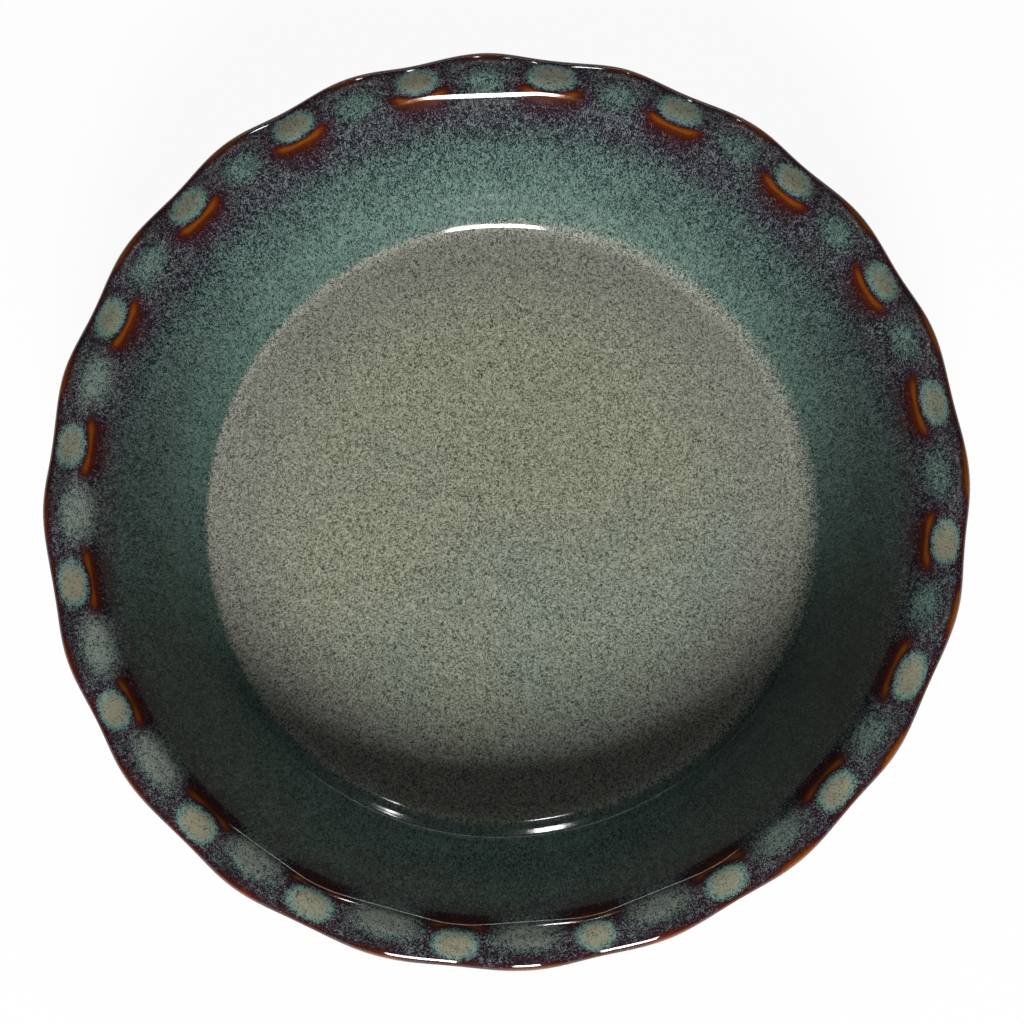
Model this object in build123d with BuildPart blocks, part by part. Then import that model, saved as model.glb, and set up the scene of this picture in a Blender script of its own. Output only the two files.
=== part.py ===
from build123d import *
import math
import os

# A round stoneware pie dish with a crimped rim. The clay is one piece. It carries a coat of glaze
# inside, another outside, and a third in the recess of its foot. Lengths are in millimetres,
# the origin is the centre of the foot's resting plane, and +Z is up.

# Overall
overall_radius = 133.5      # to the outermost bulge of the rim
overall_height = 50.0       # from the table to the crest of the rim

# Floor and wall
floor_radius = 93.0         # where the lines of the floor and the inner wall meet
floor_height = 8.2          # top of the floor above the table
floor_corner = 7.0          # radius between the floor and the inner wall
wall_thickness = 6.0        # square to the wall
heel_radius = 10.0          # radius between the underside and the outer wall

# Foot
foot_outer_radius = 88.0
foot_width = 6.0
foot_height = 2.4           # how far the underside is held off the table
bare_margin = 2.0           # clay left bare outside the foot

# Rim
rim_width = 14.0            # from the outermost bulge in to the lip
rim_depth = 11.0            # from the crest down to the underside of the rim
relief = 2.5                # from the crest down to the hollows
pinch_count = 20
first_pinch_angle = 83.74   # degrees, from +X towards +Y
station_count = 5           # sections drawn across one pinch
wall_sink = 2.0             # how far the wall's top reaches up inside the rim

# Glaze
coat = 0.6                  # thickness of every coat
overrun = 5.0               # how far cutting shapes stand out past the dish

# The rim's section at a pinch and half way between two pinches, as pairs of shares.
# A reach share of 0 is the outermost bulge and 1 the lip. A drop share of 0 is the crest,
# 1 the level of the hollows and 2 the underside of the rim. At a pinch a low crest lies near the lip,
# with a hollow outside it. Between pinches the crest lies near the outer edge and eases down to the lip.
pinch_section_shares = [
    (1.02, 1.86), (1.13, 1.57), (1.03, 1.30), (0.93, 1.13), (0.87, 1.03), (0.79, 0.79),
    (0.69, 0.60), (0.54, 0.60), (0.36, 0.80), (0.22, 0.96), (0.14, 1.04),
    (0.09, 1.11), (0.07, 1.29), (0.16, 1.82), (0.43, 2.00), (0.88, 1.99),
]
lobe_section_shares = [
    (1.02, 1.86), (1.13, 1.57), (1.035, 1.30), (0.955, 1.145), (0.85, 1.01), (0.74, 0.76),
    (0.60, 0.44), (0.44, 0.22), (0.30, 0.09), (0.20, 0.00), (0.09, 0.20),
    (0.03, 0.60), (0.00, 1.29), (0.12, 1.82), (0.43, 2.00), (0.88, 1.99),
]
lip_index = 1               # the point of those sections that stands over the inner wall
edge_index = 12             # the outermost point of those sections

pitch = 360 / pinch_count
foot_inner_radius = foot_outer_radius - foot_width


def drop_at(share):
    """Depth below the crest for a drop share."""
    return relief * min(share, 1) + (rim_depth - relief) * max(share - 1, 0)


def rim_point(shares):
    """Radius and height of one point of the rim's section."""
    reach_share, drop_share = shares
    return (overall_radius - rim_width * reach_share, overall_height - drop_at(drop_share))


# The inner wall is straight. It runs from the floor to the point of the rim that stands over it.
wall_top_radius, wall_top_height = rim_point(pinch_section_shares[lip_index])
wall_run = wall_top_radius - floor_radius
wall_rise = wall_top_height - floor_height
wall_length = math.hypot(wall_run, wall_rise)
wall_breadth = wall_thickness * wall_length / wall_rise     # the wall's thickness, measured level


def wall_radius(height, outwards_share=0):
    """Radius of the wall at a height: share 0 is its inner face, 1 its outer face."""
    return floor_radius + wall_run * (height - floor_height) / wall_rise + wall_breadth * outwards_share


# The middle of the clay, as radii and heights from the axis out, and on past the widest line of the rim.
# Where the floor turns up into the wall, the two rounded corners draw it inwards.
core_height = (floor_height + foot_height) / 2
half_turn = math.atan2(wall_rise, wall_run) / 2
corner_shift = (floor_corner + heel_radius) / 2 * (1 / math.cos(half_turn) - 1)
edge_height = rim_point(lobe_section_shares[edge_index])[1]
clay_middle = [
    (0, core_height),
    (
        wall_radius(core_height, 0.5) - corner_shift * math.sin(half_turn),
        core_height + corner_shift * math.cos(half_turn),
    ),
    (wall_radius(wall_top_height, 0.5), wall_top_height),
    (overall_radius - rim_width / 2, edge_height),
    (overall_radius + overrun, edge_height),
]


def rim_section(wave, inset):
    """Closed outline of the rim, as points moved inset into the clay.

    A wave of 1 gives the section at a pinch, and -1 the one half way between two pinches.
    """
    outline = []
    for at_pinch, at_lobe in zip(pinch_section_shares, lobe_section_shares):
        pinch_point = Vector(*rim_point(at_pinch))
        lobe_point = Vector(*rim_point(at_lobe))
        outline.append((pinch_point + lobe_point) / 2 + (pinch_point - lobe_point) * wave / 2)
    moved = []
    for index, point in enumerate(outline):
        along = outline[(index + 1) % len(outline)] - outline[index - 1]
        moved.append(point + Vector(along.Y, -along.X).normalized() * inset)
    return moved


def section_parameters():
    """How far along the outline each of its points lies, the same at every section of the rim.

    With these, the loft leads each point to the same point of the next section.
    """
    outline = rim_section(0, 0)
    parameters = [0]
    for index, point in enumerate(outline):
        parameters.append(parameters[-1] + (outline[(index + 1) % len(outline)] - point).length)
    return parameters


def radial_plane(angle):
    """Upright plane through the axis, with its x axis pointing outwards at an angle."""
    direction = math.radians(angle)
    outwards = (math.cos(direction), math.sin(direction), 0)
    sideways = (math.sin(direction), -math.cos(direction), 0)
    return Plane(origin=(0, 0, 0), x_dir=outwards, z_dir=sideways)


def rim_segment(inset):
    """One pinch of the rim: the sections from one lobe to the next, lofted."""
    with BuildPart() as segment:
        for station in range(station_count):
            turn = pitch * (station / (station_count - 1) - 0.5)
            wave = math.cos(math.radians(turn * pinch_count))
            outline = Edge.make_spline(
                rim_section(wave, inset), periodic=True, parameters=section_parameters()
            )
            with BuildSketch(radial_plane(first_pinch_angle + turn)):
                with BuildLine():
                    add(outline)
                make_face()
        loft()
    return segment.part


def under_clay(inner_radius, outer_radius):
    """Half section of all that lies between two radii, from the table up to the middle of the clay."""
    with BuildSketch() as profile:
        with BuildLine():
            Polyline((0, 0), *clay_middle, (clay_middle[-1][0], 0), close=True)
        make_face()
        with Locations((inner_radius, 0)):
            Rectangle(
                outer_radius - inner_radius,
                overall_height,
                align=(Align.MIN, Align.MIN),
                mode=Mode.INTERSECT,
            )
    return profile.sketch


def shell_profile():
    """Half section of the floor and the wall, in the plane of radius and height."""
    wall_top = wall_top_height + wall_sink
    with BuildSketch() as profile:
        with BuildLine():
            FilletPolyline(
                (0, foot_height),
                (wall_radius(foot_height, 1), foot_height),
                (wall_radius(wall_top, 1), wall_top),
                (wall_radius(wall_top), wall_top),
                (floor_radius, floor_height),
                (0, floor_height),
                radius=[0, heel_radius, 0, 0, floor_corner, 0],
                close=True,
            )
        make_face()
    return profile.sketch


def bowl_profile():
    """Half section of the dish below its rim: the floor, the wall and the foot under them."""
    with BuildSketch() as profile:
        add(shell_profile())
        add(under_clay(foot_inner_radius, foot_outer_radius))
    return profile.sketch


def bare_profile():
    """Half section of the clay that stays bare: the foot and a margin outside it."""
    with BuildSketch() as profile:
        add(bowl_profile())
        add(under_clay(foot_inner_radius, foot_outer_radius + bare_margin), mode=Mode.INTERSECT)
    return profile.sketch


def clay_profile():
    """The bowl's half section without its glaze, with the bare foot at its full size."""
    with BuildSketch() as profile:
        add(shell_profile())
        offset(amount=-coat, kind=Kind.INTERSECTION)
        # The offset also draws the section back from the axis, and this strip closes it again
        with Locations((0, foot_height + coat)):
            Rectangle(coat * 2, floor_height - foot_height - coat * 2, align=(Align.MIN, Align.MIN))
        add(bare_profile())
    return profile.sketch


def dish_form(profile, inset):
    """The whole dish: its bowl turned from a half section, with the rim's pinches set round the top."""
    segment = rim_segment(inset)
    with BuildPart() as form:
        with BuildSketch(Plane.XZ):
            add(profile)
        revolve(axis=Axis.Z)
        with PolarLocations(0, pinch_count):
            add(segment)
    return form.part


# The fired clay
with BuildPart() as stoneware_body:
    add(dish_form(clay_profile(), coat))

# All the glaze is what the finished dish holds around its clay
with BuildPart() as glaze:
    add(dish_form(bowl_profile(), 0))
    add(stoneware_body.part, mode=Mode.SUBTRACT)

# The inside coat ends at the widest line of the rim. Its parting surface runs through the clay.
space_top = overall_height + overrun
with BuildPart() as inside_space:
    with BuildSketch(Plane.XZ):
        with BuildLine():
            Polyline(*clay_middle, (clay_middle[-1][0], space_top), (0, space_top), close=True)
        make_face()
    revolve(axis=Axis.Z)

# The recess of the foot
with BuildPart() as recess_space:
    with BuildSketch(Plane.XZ):
        add(under_clay(0, foot_inner_radius + foot_width / 2))
    revolve(axis=Axis.Z)

with BuildPart() as inside_glaze:
    add(glaze.part)
    add(inside_space.part, mode=Mode.INTERSECT)

with BuildPart() as outside_glaze:
    add(glaze.part)
    add(inside_space.part, mode=Mode.SUBTRACT)
    add(recess_space.part, mode=Mode.SUBTRACT)

with BuildPart() as underside_glaze:
    add(glaze.part)
    add(recess_space.part, mode=Mode.INTERSECT)

stoneware_body.part.label = "stoneware_body"
inside_glaze.part.label = "inside_glaze"
outside_glaze.part.label = "outside_glaze"
underside_glaze.part.label = "underside_glaze"

os.makedirs("parts", exist_ok=True)
export_step(stoneware_body.part, "parts/stoneware_body.step")
export_step(inside_glaze.part, "parts/inside_glaze.step")
export_step(outside_glaze.part, "parts/outside_glaze.step")
export_step(underside_glaze.part, "parts/underside_glaze.step")
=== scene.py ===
"""A round stoneware pie dish with a pinched rim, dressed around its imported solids.

The dish is one piece of fired clay. A reactive glaze covers its inside, another coat covers its outside,
and a third fills the recess of the foot. Lengths are in metres, the origin is the centre of the foot's
resting plane, and +Z is up.
"""

from __future__ import annotations

import logging
import math
from dataclasses import dataclass
from enum import Enum
from typing import Any, Mapping, Sequence

import bmesh
import bpy
import numpy as np
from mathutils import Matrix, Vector

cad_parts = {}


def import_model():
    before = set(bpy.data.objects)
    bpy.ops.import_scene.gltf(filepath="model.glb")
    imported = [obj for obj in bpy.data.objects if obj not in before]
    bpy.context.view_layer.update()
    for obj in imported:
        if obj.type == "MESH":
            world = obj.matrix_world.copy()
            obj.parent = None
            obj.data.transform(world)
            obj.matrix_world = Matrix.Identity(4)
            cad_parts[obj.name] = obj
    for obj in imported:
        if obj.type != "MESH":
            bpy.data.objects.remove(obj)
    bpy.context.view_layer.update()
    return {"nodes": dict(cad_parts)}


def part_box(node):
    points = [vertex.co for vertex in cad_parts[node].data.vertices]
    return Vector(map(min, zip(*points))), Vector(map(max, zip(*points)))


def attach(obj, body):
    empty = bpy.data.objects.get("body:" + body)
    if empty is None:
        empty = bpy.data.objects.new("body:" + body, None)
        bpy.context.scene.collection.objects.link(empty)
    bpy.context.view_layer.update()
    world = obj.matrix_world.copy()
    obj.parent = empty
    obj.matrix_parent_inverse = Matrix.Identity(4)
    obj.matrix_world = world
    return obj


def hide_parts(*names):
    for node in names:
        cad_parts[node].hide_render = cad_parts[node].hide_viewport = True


LOG = logging.getLogger("pie_dish")
MILLIMETRE = 0.001
LEAST_LENGTH = 1e-12    # keeps a division from going through zero
SHORTEST_EDGE = 1e-8    # edges below it are dissolved
Stops = Sequence[tuple[float, str]]
Pair = tuple[float, float]
# Where the rings of a flat back lie, as shares of its radius
BACK_RING_SHARES = (1, 0.7, 0.35, 0)
# How much a length counts for when the surface is laid out for its flecks
FLECK_RUN = 0.86        # out past the floor, so that flecks run with the wall's slope
FLECK_RISE = 0.05       # upwards


def linear(hex_colour: str) -> tuple[float, float, float, float]:
    """Turns an sRGB hex colour into a linear one.

    Args:
        hex_colour: Six hex digits after a number sign.

    Returns:
        Red, green, blue and an alpha of 1.
    """
    channels = [int(hex_colour[start:start + 2], 16) / 255 for start in (1, 3, 5)]
    red, green, blue = (c / 12.92 if c <= 0.04045 else ((c + 0.055) / 1.055) ** 2.4 for c in channels)
    return (red, green, blue, 1.0)


def add_node(
    tree: bpy.types.NodeTree,
    kind: str,
    inputs: Mapping[str | int, Any] | None = None,
    stops: Stops = (),
    **settings: Any,
) -> bpy.types.Node:
    """Adds a node with its settings, values and links.

    Args:
        tree: The node tree that takes it.
        kind: The node's type.
        inputs: Values or output sockets, by the input's identifier or number.
        stops: Places and hex colours, for a node that holds a colour ramp.
        settings: Properties of the node.

    Returns:
        The new node.
    """
    node = tree.nodes.new(kind)
    for name, value in settings.items():
        setattr(node, name, value)
    sockets = {socket.identifier: socket for socket in node.inputs}
    sockets |= {socket.name: socket for socket in node.inputs if socket.enabled}
    for key, value in (inputs or {}).items():
        socket = node.inputs[key] if isinstance(key, int) else sockets[key]
        if isinstance(value, bpy.types.NodeSocket):
            tree.links.new(value, socket)
        else:
            socket.default_value = value
    for number, (place, colour) in enumerate(stops):
        ramp = node.color_ramp
        stop = ramp.elements[number] if number < len(ramp.elements) else ramp.elements.new(place)
        stop.position = place
        stop.color = linear(colour)
    return node


def add_chain(
    tree: bpy.types.NodeTree, kind: str, known: dict[str, Any], steps: Sequence[Sequence[Any]]
) -> None:
    """Adds nodes one after another, each of which may read what the ones before it gave.

    Args:
        tree: The node tree that takes them.
        kind: The nodes' type, which has an operation.
        known: Output sockets by name. The results are added to it.
        steps: For each node the name of its result, its operation, and its inputs as values or names.
    """
    for result, operation, *operands in steps:
        inputs = {number: known.get(operand, operand) for number, operand in enumerate(operands)}
        known[result] = add_node(tree, kind, inputs, operation=operation).outputs[0]


class Held(Enum):
    """The attributes of a half section's points, which the pinch rule reads."""

    AT_LOBE = "at_lobe"             # the point's place half way between two pinches
    AT_PINCH = "at_pinch"           # its place at a pinch
    RIM_SHARE = "rim_share"         # 1 on the rim, which strays with the hand, and 0 on the lower wall
    OUT_AT_FRONT = "out_at_front"   # how far further out it lies at the front
    UP_AT_BACK = "up_at_back"       # how far higher it lies at the back


class Zone(Enum):
    """The mesh attributes that the glazes read."""

    POOL = "pool"           # how deep the glaze lies: 0 bare edge, 1 deepest pool
    FLOOR = "floor"         # 1 on the floor of the dish, 0 on its wall
    BAND = "floor_band"     # 1 where the floor greys towards its edge
    PAINTED_SHADE = "painted_shade_side"      # 1 where a side of the wall is painted darker as shade, with few crystals
    MILK = "milkiness"      # 1 where the rim's crystals crowd and turn milky
    PLACE = "glaze_place"   # the surface unrolled, in metres, without a seam
    WAVE = "wave"           # 1 at a pinch, -1 half way between two pinches
    REACH = "reach"         # 0 at the widest line of the rim, 1 at the lip, more down the wall


# Sizes of the dish


@dataclass(frozen=True)
class Outline:
    """A line of the dish's half section, as radii and heights at a pinch and half way between two."""

    at_pinch: np.ndarray
    at_lobe: np.ndarray

    @classmethod
    def of_turned(cls, points: Sequence[tuple[float, float]]) -> "Outline":
        """Makes the outline of a turned surface, which is the same all the way round."""
        line = np.array(points, float)
        return cls(line, line.copy())

    def reversed(self) -> "Outline":
        """Gives the same line, drawn the other way."""
        return Outline(self.at_pinch[::-1], self.at_lobe[::-1])

    def followed_by(self, *others: "Outline") -> "Outline":
        """Joins further lines to this one's end.

        Args:
            others: The lines, in order.

        Returns:
            The whole line.
        """
        lines = (self, *others)
        return Outline(
            np.concatenate([line.at_pinch for line in lines]),
            np.concatenate([line.at_lobe for line in lines]),
        )

    def inset(self, distance: float) -> "Outline":
        """Moves the line square to itself.

        Args:
            distance: How far it moves to the right of the way that it is drawn.

        Returns:
            The moved line.
        """
        moved = []
        for line in (self.at_pinch, self.at_lobe):
            along = np.gradient(line, axis=0)
            along /= np.maximum(np.linalg.norm(along, axis=1, keepdims=True), LEAST_LENGTH)
            moved.append(line + np.stack([along[:, 1], -along[:, 0]], axis=1) * distance)
        return Outline(moved[0], moved[1])

    def eased(self, joint: int, reach: int) -> "Outline":
        """Rounds the line off near one of its points.

        Args:
            joint: The point's number.
            reach: How many points on either side of it may move.

        Returns:
            The rounded line.
        """
        near = slice(joint - reach, joint + reach + 1)
        rounded = []
        for line in (self.at_pinch.copy(), self.at_lobe.copy()):
            for _ in range(reach * 2):
                part = line[near]
                part[1:-1] = (part[:-2] + part[1:-1] * 2 + part[2:]) / 4
            rounded.append(line)
        return Outline(rounded[0], rounded[1])

    def thinned(self, step: int) -> "Outline":
        """Keeps every step-th point, and both ends."""
        kept = sorted({*range(0, len(self.at_pinch), step), len(self.at_pinch) - 1})
        return Outline(self.at_pinch[kept], self.at_lobe[kept])


@dataclass(frozen=True)
class DishForm:
    """The sizes of the finished dish, in metres, and the lines of its half section."""

    overall_radius: float
    overall_height: float
    foot_inner_radius: float
    foot_height: float
    coat: float
    floor_radius: float = 93.0 * MILLIMETRE
    floor_height: float = 8.2 * MILLIMETRE
    wall_thickness: float = 6.0 * MILLIMETRE
    heel_radius: float = 10.0 * MILLIMETRE
    foot_width: float = 6.0 * MILLIMETRE
    foot_edge: float = 1.2 * MILLIMETRE         # the sponged round of the foot's edges
    bare_margin: float = 2.0 * MILLIMETRE
    rim_width: float = 14.0 * MILLIMETRE
    rim_depth: float = 11.0 * MILLIMETRE
    relief: float = 2.5 * MILLIMETRE
    pinch_count: int = 20
    first_pinch_angle: float = math.radians(83.74)
    lip_index: int = 1
    edge_index: int = 12
    rim_points: int = 64                        # rows from the lip over to the widest line

    # Reach and drop of the rim's section, as shares of its width and depth
    pinch_section_shares: tuple[tuple[float, float], ...] = (
        (1.02, 1.86), (1.13, 1.57), (1.03, 1.30), (0.93, 1.13), (0.87, 1.03), (0.79, 0.79),
        (0.69, 0.60), (0.54, 0.60), (0.36, 0.80), (0.22, 0.96), (0.14, 1.04),
        (0.09, 1.11), (0.07, 1.29), (0.16, 1.82), (0.43, 2.00), (0.88, 1.99),
    )
    lobe_section_shares: tuple[tuple[float, float], ...] = (
        (1.02, 1.86), (1.13, 1.57), (1.035, 1.30), (0.955, 1.145), (0.85, 1.01), (0.74, 0.76),
        (0.60, 0.44), (0.44, 0.22), (0.30, 0.09), (0.20, 0.00), (0.09, 0.20),
        (0.03, 0.60), (0.00, 1.29), (0.12, 1.82), (0.43, 2.00), (0.88, 1.99),
    )

    @classmethod
    def of_frame(cls) -> "DishForm":
        """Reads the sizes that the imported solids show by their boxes.

        Returns:
            The dish, with its other sizes as they stand here.
        """
        inside_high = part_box("inside_glaze")[1]
        recess_low, recess_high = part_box("underside_glaze")
        return cls(
            overall_radius=inside_high.x,
            overall_height=inside_high.z,
            foot_inner_radius=recess_high.x,
            foot_height=recess_low.z,
            coat=recess_high.z - recess_low.z,
        )

    @property
    def foot_outer_radius(self) -> float:
        """Radius of the foot's outer face."""
        return self.foot_inner_radius + self.foot_width

    @property
    def glaze_line(self) -> float:
        """Radius at which the outside glaze ends and the clay is left bare."""
        return self.foot_outer_radius + self.bare_margin

    @property
    def lip(self) -> tuple[float, float]:
        """Radius and height of the rim's point that stands over the inner wall."""
        radius, height = self.rim_controls(self.pinch_section_shares)[self.lip_index]
        return (float(radius), float(height))

    @property
    def wall_slope(self) -> float:
        """How far the wall leans out for each length that it rises."""
        lip_radius, lip_height = self.lip
        return (lip_radius - self.floor_radius) / (lip_height - self.floor_height)

    def wall_radius(self, height: float, outwards_share: float = 0.0) -> float:
        """Radius of the wall at a height: share 0 is its inner face, 1 its outer face."""
        breadth = self.wall_thickness * math.hypot(1.0, self.wall_slope)
        return self.floor_radius + self.wall_slope * (height - self.floor_height) + breadth * outwards_share

    def rim_controls(self, shares: Sequence[tuple[float, float]]) -> np.ndarray:
        """Works out the points that a section of the rim is drawn through.

        Args:
            shares: Their reach and drop.

        Returns:
            Their radii and heights.
        """
        reach, drop = np.array(shares, float).T
        fall = self.relief * np.minimum(drop, 1) + (self.rim_depth - self.relief) * np.maximum(drop - 1, 0)
        return np.stack([self.overall_radius - self.rim_width * reach, self.overall_height - fall], axis=1)

    def rim_line(self, first: int, last: int, count: int) -> Outline:
        """Draws the rim's section as a smooth closed curve and takes a stretch of it.

        Args:
            first: The section's point where the stretch starts.
            last: The point where it ends, counted on past the last one where it goes round.
            count: How many points the stretch gets.

        Returns:
            The stretch, at a pinch and half way between two.
        """
        controls = [self.rim_controls(s) for s in (self.pinch_section_shares, self.lobe_section_shares)]
        middle = (controls[0] + controls[1]) / 2
        spans = np.linalg.norm(np.roll(middle, -1, axis=0) - middle, axis=1)
        knots = np.concatenate([[0], np.cumsum(spans)])
        turn = knots[-1]
        ends = [knots[index % len(middle)] + turn * (index // len(middle)) for index in (first, last)]
        places = np.linspace(ends[0], ends[1], count)
        return Outline(*(closed_spline(points, knots, places) for points in controls))


def closed_spline(points: np.ndarray, knots: np.ndarray, places: np.ndarray) -> np.ndarray:
    """Reads a closed cubic spline that runs smoothly through some points.

    Args:
        points: The points, without the first one repeated.
        knots: The parameter of each point, and of the first one again at the end.
        places: The parameters to read it at.

    Returns:
        One point for each place.
    """
    spans = np.diff(knots)
    before = np.roll(spans, 1)
    count = len(points)
    following, previous = np.roll(points, -1, axis=0), np.roll(points, 1, axis=0)
    system = np.zeros((count, count))
    for row in range(count):
        system[row, row - 1] += before[row]
        system[row, row] += 2 * (before[row] + spans[row])
        system[row, (row + 1) % count] += spans[row]
    slopes = 6 * ((following - points) / spans[:, None] - (points - previous) / before[:, None])
    bends = np.linalg.solve(system, slopes)
    turned = np.mod(places - knots[0], knots[-1] - knots[0]) + knots[0]
    index = np.clip(np.searchsorted(knots, turned, side="right") - 1, 0, count - 1)
    ahead = (index + 1) % count
    span = spans[index][:, None]
    after = (turned - knots[index])[:, None] / span
    to_go = 1 - after
    return (
        to_go * points[index]
        + after * points[ahead]
        + ((to_go**3 - to_go) * bends[index] + (after**3 - after) * bends[ahead]) * span**2 / 6
    )


def arc(
    centre: tuple[float, float], radius: float, start: float, end: float, count: int
) -> list[tuple[float, float]]:
    """Lays points along an arc in the half section.

    Args:
        centre: Its radius and height.
        radius: The arc's radius.
        start: The angle where it starts, from outwards towards up.
        end: The angle where it ends.
        count: How many points it gets.

    Returns:
        The radii and heights of the points.
    """
    return [
        (centre[0] + radius * math.cos(angle), centre[1] + radius * math.sin(angle))
        for angle in np.linspace(start, end, count)
    ]


# The rule that turns a half section into the pinched dish


@dataclass(frozen=True)
class PinchRule:
    """The node tree that carries a half section round the axis and waves it at the pinches."""

    form: DishForm
    oval_share: float = 0.0025                      # how far out of round, as shares of the radius
    oval_angle: float = math.radians(53.5)
    three_sided_share: float = 0.0048
    three_sided_angle: float = math.radians(7.6)
    seed: float = 4.0
    seed_gap: float = 7.0                           # between the noises of two hands' movements
    swings: float = 3.1                             # how quickly the hand changes on its way round
    hand_turn: float = 1.2                          # how far along the wave a pinch strays
    hand_share: float = 0.16                        # how unevenly the pinches were pressed
    hand_shift: float = 0.55 * MILLIMETRE
    # Where the straying starts and is full, below the crest as shares of the rim's depth
    stray_shares: Pair = (1.6, 0.9)
    # The floor's corner lies further out at the front. Above the floor the wall follows it in full up to the
    # first of these heights and no more from the second.
    front_shift: float = 2.4 * MILLIMETRE
    front_fade: Pair = (10.0 * MILLIMETRE, 34.0 * MILLIMETRE)
    floor_power: int = 4                            # how steeply that dies away towards the floor's middle
    # The step in the corner is filled up at the back, and the wall follows less and less
    back_lift: float = 1.25 * MILLIMETRE
    step_middle: float = 3.4 * MILLIMETRE           # outside the floor's radius
    step_width: float = 2.2 * MILLIMETRE
    back_fade: Pair = (14.0 * MILLIMETRE, 9.0 * MILLIMETRE)
    side_power: float = 1.7                         # how closely those two keep to the front and the back
    moving_depth: float = 1.5 * MILLIMETRE          # what lies deeper under the floor stays where it is
    weld: float = 1e-7

    def tree(self) -> bpy.types.NodeTree:
        """Builds the tree, with its sizes as named inputs.

        Returns:
            The tree. It reads a line of points that hold every attribute of Held.
        """
        tree = bpy.data.node_groups.new("pinched_dish", "GeometryNodeTree")
        interface = tree.interface
        interface.new_socket("Geometry", in_out="OUTPUT", socket_type="NodeSocketGeometry")
        for name, kind in (
            ("Half Section", "NodeSocketGeometry"),
            ("Steps", "NodeSocketInt"),
            ("Pinches", "NodeSocketInt"),
            ("First Pinch", "NodeSocketFloat"),
            ("Overall Radius", "NodeSocketFloat"),
            ("Rim Width", "NodeSocketFloat"),
            ("Hand Share", "NodeSocketFloat"),
            ("Hand Shift", "NodeSocketFloat"),
            ("Seed", "NodeSocketFloat"),
            ("Glaze", "NodeSocketMaterial"),
        ):
            interface.new_socket(name, in_out="INPUT", socket_type=kind)
        known = {socket.name: socket for socket in add_node(tree, "NodeGroupInput").outputs}

        # A flat grid whose columns are the steps round the dish and whose rows are the section's points
        known["rows"] = add_node(
            tree, "GeometryNodeAttributeDomainSize", {"Geometry": known["Half Section"]}, component="MESH"
        ).outputs["Point Count"]
        position = add_node(tree, "GeometryNodeInputPosition").outputs["Position"]
        flat = add_node(tree, "ShaderNodeSeparateXYZ", {"Vector": position}).outputs
        known |= {"from middle column": flat["X"], "from middle row": flat["Y"]}
        add_chain(tree, "ShaderNodeMath", known, (
            ("columns", "ADD", "Steps", 1.0),
            ("last row", "SUBTRACT", "rows", 1.0),
            ("half steps", "DIVIDE", "Steps", 2.0),
            ("half rows", "DIVIDE", "last row", 2.0),
            ("column place", "ADD", "from middle column", "half steps"),
            ("step", "ROUND", "column place"),
            ("row place", "ADD", "from middle row", "half rows"),
            ("row", "ROUND", "row place"),
            ("turn", "DIVIDE", "step", "Steps"),
            ("angle", "MULTIPLY", "turn", math.tau),
            ("cosine", "COSINE", "angle"),
            ("sine", "SINE", "angle"),
        ))
        grid = {"Size X": "Steps", "Size Y": "last row", "Vertices X": "columns", "Vertices Y": "rows"}
        geometry = add_node(
            tree, "GeometryNodeMeshGrid", {size: known[name] for size, name in grid.items()}
        ).outputs["Mesh"]

        # Uneven hands: slow noise read on a circle, so that it closes on itself
        circle = add_node(tree, "ShaderNodeCombineXYZ", {"X": known["cosine"], "Y": known["sine"]}).outputs[0]
        for number, movement in enumerate(("along", "down", "inwards")):
            add_chain(tree, "ShaderNodeMath", known, [("own seed", "ADD", "Seed", number * self.seed_gap)])
            known["noise"] = add_node(
                tree,
                "ShaderNodeTexNoise",
                {"Vector": circle, "W": known["own seed"], "Scale": self.swings, "Detail": 1.0},
                noise_dimensions="4D",
            ).outputs[0]
            add_chain(tree, "ShaderNodeMath", known, [("hand " + movement, "SUBTRACT", "noise", 0.5)])

        # The wave of the pinches
        add_chain(tree, "ShaderNodeMath", known, (
            ("from first", "SUBTRACT", "angle", "First Pinch"),
            ("even phase", "MULTIPLY", "from first", "Pinches"),
            ("stray", "MULTIPLY", "hand along", self.hand_turn),
            ("phase", "ADD", "even phase", "stray"),
            ("even wave", "COSINE", "phase"),
            ("missing", "MULTIPLY", "hand down", "Hand Share"),
            ("strength", "SUBTRACT", 1.0, "missing"),
            ("wave", "MULTIPLY", "even wave", "strength"),
            ("wave from 0", "ADD", "wave", 1.0),
            ("pinch share", "DIVIDE", "wave from 0", 2.0),
        ))

        # Each row's place at a pinch and between two, mixed by the wave
        for held in Held:
            kind = "FLOAT_VECTOR" if held in (Held.AT_LOBE, Held.AT_PINCH) else "FLOAT"
            named = add_node(tree, "GeometryNodeInputNamedAttribute", {"Name": held.value}, data_type=kind)
            known[held.value] = add_node(
                tree,
                "GeometryNodeSampleIndex",
                {
                    "Geometry": known["Half Section"],
                    "Value": named.outputs["Attribute"],
                    "Index": known["row"],
                },
                data_type=kind,
            ).outputs["Value"]
        place = add_node(
            tree,
            "ShaderNodeMix",
            {"Factor": known["pinch share"], 4: known["at_lobe"], 5: known["at_pinch"]},
            data_type="VECTOR",
        ).outputs[1]
        parts = add_node(tree, "ShaderNodeSeparateXYZ", {"Vector": place}).outputs
        known |= {"round radius": parts["X"], "even height": parts["Y"], "oval": 1.0}

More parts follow.
